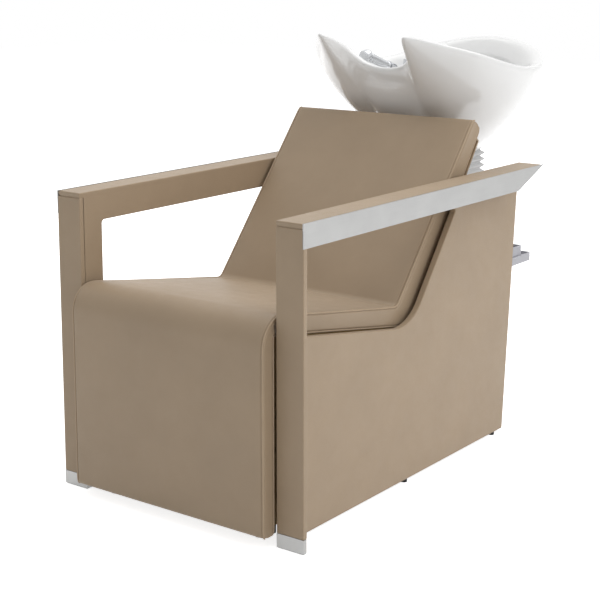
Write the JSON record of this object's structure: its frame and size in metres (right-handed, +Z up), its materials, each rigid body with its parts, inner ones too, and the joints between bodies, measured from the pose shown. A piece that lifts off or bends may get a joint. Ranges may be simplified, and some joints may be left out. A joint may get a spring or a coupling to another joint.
{
  "type": "salon wash unit",
  "caption": "Open-armed upholstered chair with a sloping back, fixed to a tilting ceramic hair-wash basin with mixer, hand shower and rear shelf.",
  "frame": {"origin": "on the floor, under the middle of the whole unit's length and width", "axes": "+Z up; the seat faces -Y and the basin stands at +Y; +X is to the right of someone in front of the unit who looks at the seat, and names with left and right are seen from there"},
  "size_m": [0.66, 1.346, 0.975],
  "materials": {
    "leather": "soft matt leather-look upholstery with a fine grain",
    "covered_board": "board covered in the same upholstery",
    "plywood": "plain birch plywood, hidden",
    "aluminium_trim": "satin anodised strip",
    "black_rubber": "moulded pads and feet",
    "frame_steel": "black powder coat",
    "grey_plastic": "moulded pale grey, fine satin texture",
    "waste_plastic": "grey waste pipe",
    "bellows_rubber": "pale grey, smooth",
    "bush_plastic": "natural bearing plastic",
    "hose_steel": "braided sleeve",
    "valve_brass": "plain",
    "chrome": "polished",
    "glazed_white": "white gloss glaze"
  },
  "bodies": {
    "root": {"seat_cushion": "leather", "back_cushion": "leather", "back_lining": "leather", "side_cover_left": "leather", "side_cover_right": "leather", "post_cover_left": "leather", "post_cover_right": "leather", "arm_lining_left": "leather", "arm_lining_right": "leather", "arm_top_left": "leather", "arm_top_right": "leather", "deck_board": "covered_board", "rear_panel": "covered_board", "side_core_left": "plywood", "side_core_right": "plywood", "post_core_left": "plywood", "post_core_right": "plywood", "arm_beam_left": "plywood", "arm_beam_right": "plywood", "former_left": "plywood", "former_right": "plywood", "front_board": "plywood", "seat_board": "plywood", "back_board": "plywood", "cleats_left": "plywood", "cleats_right": "plywood", "arm_strip_left": "aluminium_trim", "arm_strip_right": "aluminium_trim", "shoe_left": "aluminium_trim", "shoe_right": "aluminium_trim", "shoe_pads": "black_rubber", "rear_glides": "black_rubber", "levelling_feet": "black_rubber", "base_frame": "frame_steel", "column": "frame_steel", "pivot_bracket": "frame_steel", "column_cover": "grey_plastic", "access_door": "grey_plastic", "rear_shelf": "grey_plastic", "shelf_holder": "grey_plastic", "waste_outlet": "waste_plastic", "waste_hose": "waste_plastic", "bellows": "bellows_rubber", "pivot_bushes": "bush_plastic", "supply_hoses": "hose_steel", "inlet_valves": "valve_brass", "door_screws": "chrome"},
    "basin": {"basin": "glazed_white", "basin_saddle": "frame_steel", "pivot_pins": "chrome", "friction_washers": "bush_plastic", "waste_flange": "chrome", "waste_tail": "waste_plastic", "mixer_body": "chrome", "shower_sleeve": "chrome"},
    "mixer_spindle": {"mixer_spindle": "chrome"},
    "mixer_lever": {"mixer_lever": "chrome"},
    "hand_shower": {"hand_shower": "chrome"},
    "strainer": {"strainer": "chrome"}
  },
  "joints": [
    {"name": "basin_tilt", "type": "hinge", "parent": "root", "child": "basin", "pos_m": [0, 0.407, 0.622], "axis": [1, 0, 0], "range_deg": [-12, 5], "deforming": ["bellows", "waste_hose", "supply_hoses"]},
    {"name": "mixer_turn", "type": "hinge", "parent": "basin", "child": "mixer_spindle", "pos_m": [-0.15, 0.495, 0.884], "axis": [0, 0, 1], "range_deg": [-45, 45]},
    {"name": "mixer_lift", "type": "hinge", "parent": "mixer_spindle", "child": "mixer_lever", "pos_m": [-0.15, 0.495, 0.8942], "axis": [-0.4695, -0.8829, 0], "range_deg": [0, 25]},
    {"name": "shower_lift", "type": "slide", "parent": "basin", "child": "hand_shower", "axis": [0, -0.9511, 0.309], "range_m": [0, 0.12]},
    {"name": "strainer_lift", "type": "slide", "parent": "basin", "child": "strainer", "axis": [0, 0, 1], "range_m": [0, 0.05]}
  ]
}
